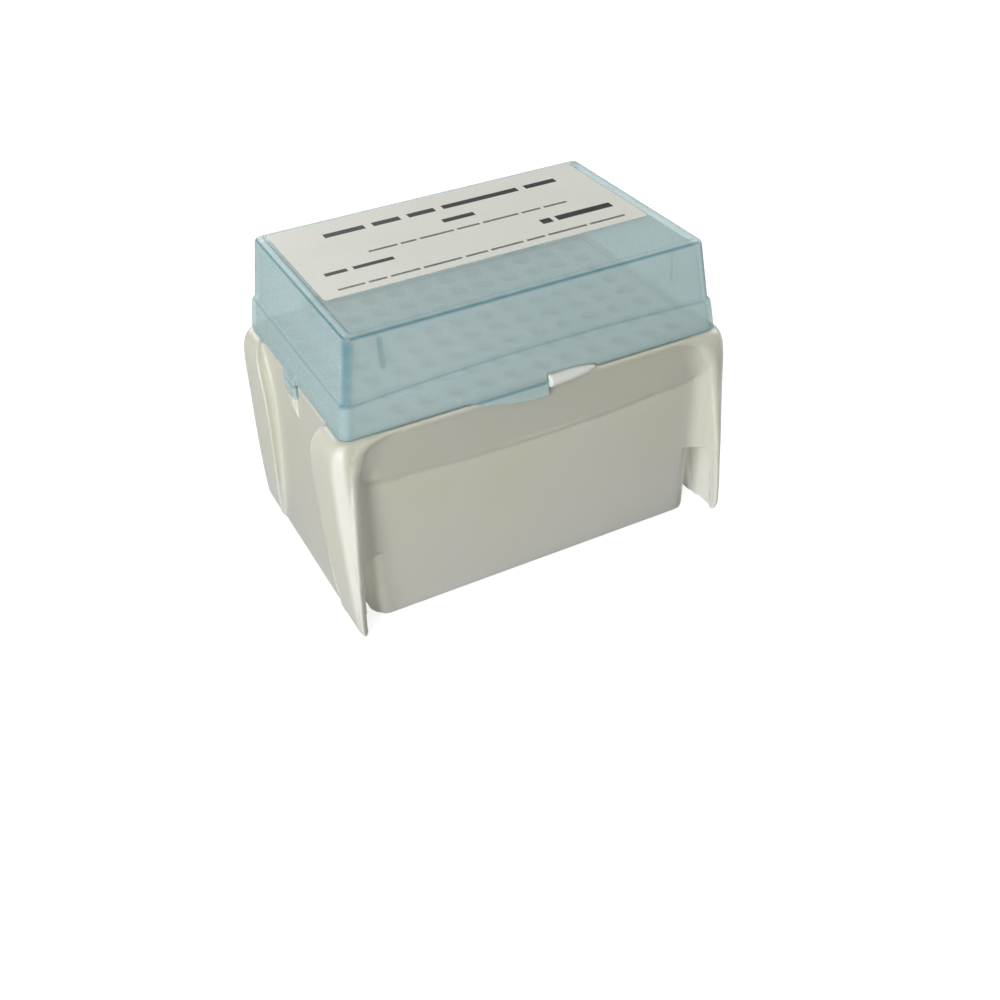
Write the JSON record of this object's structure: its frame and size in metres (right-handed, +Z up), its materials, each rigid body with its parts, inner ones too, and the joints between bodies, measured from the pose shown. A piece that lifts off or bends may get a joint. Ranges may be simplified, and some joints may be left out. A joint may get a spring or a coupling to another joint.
{
  "type": "pipette tip box",
  "caption": "Rectangular laboratory tip box: white moulded base with four flared corner posts, perforated tip rack inside, and a hinged translucent blue lid with a paper label.",
  "frame": {"origin": "middle of the footprint, on the surface that the box stands on", "axes": "+X along the long side to the right, +Y from the front panel to the hinge side, +Z up"},
  "size_m": [0.1288, 0.0852, 0.0956],
  "materials": {
    "white_plastic": "semi-gloss moulded polypropylene, white",
    "rack_plastic": "satin moulded polypropylene, white",
    "blue_translucent": "translucent blue moulded polypropylene, slightly frosted",
    "label_paper": "matt coated paper label with plain printed bars"
  },
  "bodies": {
    "box_body": {"base": "white_plastic", "rack_plate": "rack_plastic"},
    "lid_body": {"lid": "blue_translucent", "label": "label_paper"}
  },
  "joints": [
    {"name": "lid_hinge", "type": "hinge", "parent": "box_body", "child": "lid_body", "pos_m": [0, 0.0404, 0.068], "axis": [-1, 0, 0], "range_deg": [0, 105]}
  ]
}
